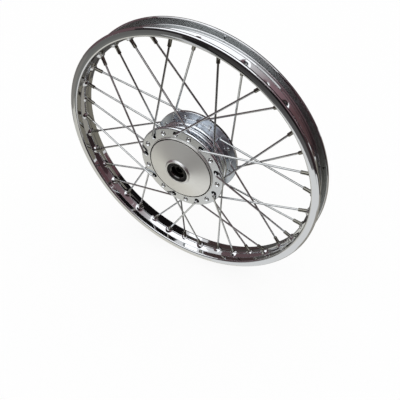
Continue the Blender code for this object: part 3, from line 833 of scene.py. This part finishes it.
# Studio
# A white room, and cards round the wheel that only its polished surfaces see: lights overhead, a pale table,
# brownish red walls at the sides, dark ones behind with bright stripes, and a dark edge and post in front.
CARD_DISTANCE = 4.0
CARD_CELLS = 12
world = bpy.data.worlds.new("white_studio")
world.use_nodes = True
bpy.context.scene.world = world
sky = world.node_tree
sky.nodes["Background"].inputs["Color"].default_value = (1, 1, 1, 1)
sky.nodes["Background"].inputs["Strength"].default_value = 1.0
bpy.context.scene.view_settings.view_transform = "Standard"


def towards(turn, rise):
    """The direction at an angle round from the front, positive to the right, and an angle above the level."""
    turn, rise = radians(turn), radians(rise)
    return Vector((cos(rise) * sin(turn), -cos(rise) * cos(turn), sin(rise)))


def card(name, colour, left, right, left_low, left_high, right_low, right_high,
         strength=1.0, near=0.0, fade=None):
    """A curved card that only polished surfaces see, between two angles round.
    It has a low and a high edge at each, and its colour can fade into another towards the high edge."""
    paint = bpy.data.materials.new(name + "_card")
    paint.use_nodes = True
    leaves = paint.node_tree
    leaves.nodes.clear()
    height = add(leaves, "ShaderNodeAttribute", attribute_name="height")
    tint = add(leaves, "ShaderNodeMix", {
        "Factor": height.outputs["Fac"], "A": linear(colour), "B": linear(fade or colour)}, data_type="RGBA")
    glow = add(leaves, "ShaderNodeEmission", {"Color": tint.outputs["Result"], "Strength": strength})
    add(leaves, "ShaderNodeOutputMaterial", {"Surface": glow.outputs[0]})
    points = []
    for i in range(CARD_CELLS + 1):
        share = i / CARD_CELLS
        turn = left + (right - left) * share
        low = left_low + (right_low - left_low) * share
        high = left_high + (right_high - left_high) * share
        for j in range(CARD_CELLS + 1):
            points.append(towards(turn, low + (high - low) * j / CARD_CELLS) * (CARD_DISTANCE - near))
    row = CARD_CELLS + 1
    faces = [(i * row + j, (i + 1) * row + j, (i + 1) * row + j + 1, i * row + j + 1)
             for i in range(CARD_CELLS) for j in range(CARD_CELLS)]
    mesh = bpy.data.meshes.new(name)
    mesh.from_pydata(points, [], faces)
    heights = mesh.attributes.new("height", "FLOAT", "POINT")
    heights.data.foreach_set("value", [j / CARD_CELLS for i in range(row) for j in range(row)])
    mesh.materials.append(paint)
    made = bpy.data.objects.new(name, mesh)
    made.visible_camera = False
    made.visible_diffuse = False
    made.visible_shadow = False
    bpy.context.collection.objects.link(made)


card("light_top", "FFFFFF", -56, 28, 26, 89, 26, 89, strength=1.90)
card("light_top_right", "FFFFFF", 28, 180, 54, 89, 66, 89, strength=1.72)
card("light_top_left", "FFFFFF", -180, -56, 62, 89, 46, 89, strength=1.72)
card("wall_right_top", "9A8186", 28, 76, 32, 58, 50, 76, near=0.1, fade="FFFFFF")
card("wall_right", "685154", 30, 76, -6, 32, -6, 50, near=0.1, fade="9A8186")
card("wall_right_foot", "31292A", 18, 84, -28, 9, -28, 9, near=0.2, fade="4C383B")
card("wall_right_edge", "1D1A1B", 4, 30, -14, 12, -14, 22, near=0.1)
card("front_dark", "332E2F", -44, 4, -12, 16, -14, 18)
card("front_light", "B1ACAA", -56, 28, 16, 26, 18, 26, fade="FFFFFF")
card("table_right", "B6B1A7", 28, 90, -89, -28, -89, -28)
card("wall_far_right", "513F3F", 76, 112, -8, 26, -6, 26, near=0.1, fade="6F5355")
card("wall_far_right_middle", "6F5355", 76, 112, 26, 50, 26, 50, near=0.1, fade="A7878E")
card("wall_far_right_top", "A7878E", 76, 112, 50, 76, 50, 76, near=0.1, fade="FFFFFF")
card("wall_corner", "6F5155", 112, 126, -6, 42, -6, 48)
card("stripe_right", "FFFFFF", 116, 125, 16, 21, 18, 25, strength=1.72, near=0.2)
card("wall_behind", "161415", 126, 180, -2, 58, -8, 66)
card("table_behind", "8E897C", 90, 180, -89, -8, -89, -8)
card("wall_behind_left", "181516", -180, -161, -8, 66, -8, 54)
card("stripe", "FFFFFF", -161, -149, 45, 51, 45, 51, strength=1.90)
card("stripe_high", "FFFFFF", -149, -135, 45, 62, 42, 58, strength=1.90)
card("wall_left_back", "4F4140", -161, -118, -8, 45, -8, 34)
card("table_behind_left", "5E5C59", -180, -118, -89, -8, -89, -8)
card("wall_left", "756063", -120, -44, -6, 50, -10, 27)
card("table_left", "EAE8DE", -118, -50, -89, -6, -89, -10)
card("left_edge", "A29F98", -95, -50, -34, -6, -30, -10, near=0.1, fade="7A7572")
card("front_edge_left", "90908B", -50, -26, -30, -11, -40, -12, near=0.1, fade="6F6E6C")
card("front_edge", "757372", -26, 18, -39, -12, -35, -14, near=0.1, fade="2C2928")
card("front_post", "292827", -29.5, -24.5, -37, -16, -36, -16, near=0.2)
card("front_gap", "E5E5E3", -34.5, -30.5, -33, -21, -33, -21, near=0.2)
card("table_front_left", "FAF6EA", -50, -29, -89, -26, -89, -26)
card("table_front", "FFFFFD", -29, 28, -89, -26, -89, -24, strength=1.04)

# A white floor just under the rim, which keeps a faint shadow of the wheel and isn't mirrored in it.
FLOOR = -LIP_RADIUS - 0.5 * MM
FLOOR_HALF = 20
FLOOR_GLOW = 0.88
white_floor = finish("white_sweep", {"Base Color": linear("FAFAFA"), "Roughness": 0.9})
tree = white_floor.node_tree
shader = tree.nodes["Principled BSDF"]
ray = add(tree, "ShaderNodeLightPath")
share = add(tree, "ShaderNodeMath", {0: ray.outputs["Is Camera Ray"], 1: FLOOR_GLOW}, operation="MULTIPLY")
glow = add(tree, "ShaderNodeEmission", {"Color": (1, 1, 1, 1), "Strength": 1.0})
mix = add(tree, "ShaderNodeMixShader", {0: share.outputs[0], 1: shader.outputs[0], 2: glow.outputs[0]})
tree.links.new(mix.outputs[0], tree.nodes["Material Output"].inputs["Surface"])
floor_mesh = bpy.data.meshes.new("floor")
floor_corners = [(x * FLOOR_HALF, y * FLOOR_HALF, FLOOR) for x, y in ((-1, -1), (1, -1), (1, 1), (-1, 1))]
floor_mesh.from_pydata(floor_corners, [], [(0, 1, 2, 3)])
floor_mesh.materials.append(white_floor)
floor = bpy.data.objects.new("floor", floor_mesh)
floor.visible_glossy = False
bpy.context.collection.objects.link(floor)


# Camera
# It stands above and to the right of the closed face, as the photograph's does.
# Its place, turn and lens come from a fit to the edges and holes of the wheel in the photograph.
eye = bpy.data.cameras.new("camera")
eye.lens = 41.78
eye.sensor_width = 36
camera = bpy.data.objects.new("camera", eye)
camera.location = (0.30375, -0.4984, 0.5046)
camera.rotation_euler = (radians(90 - 45.90), 0, radians(29.58))
bpy.context.collection.objects.link(camera)
bpy.context.scene.camera = camera
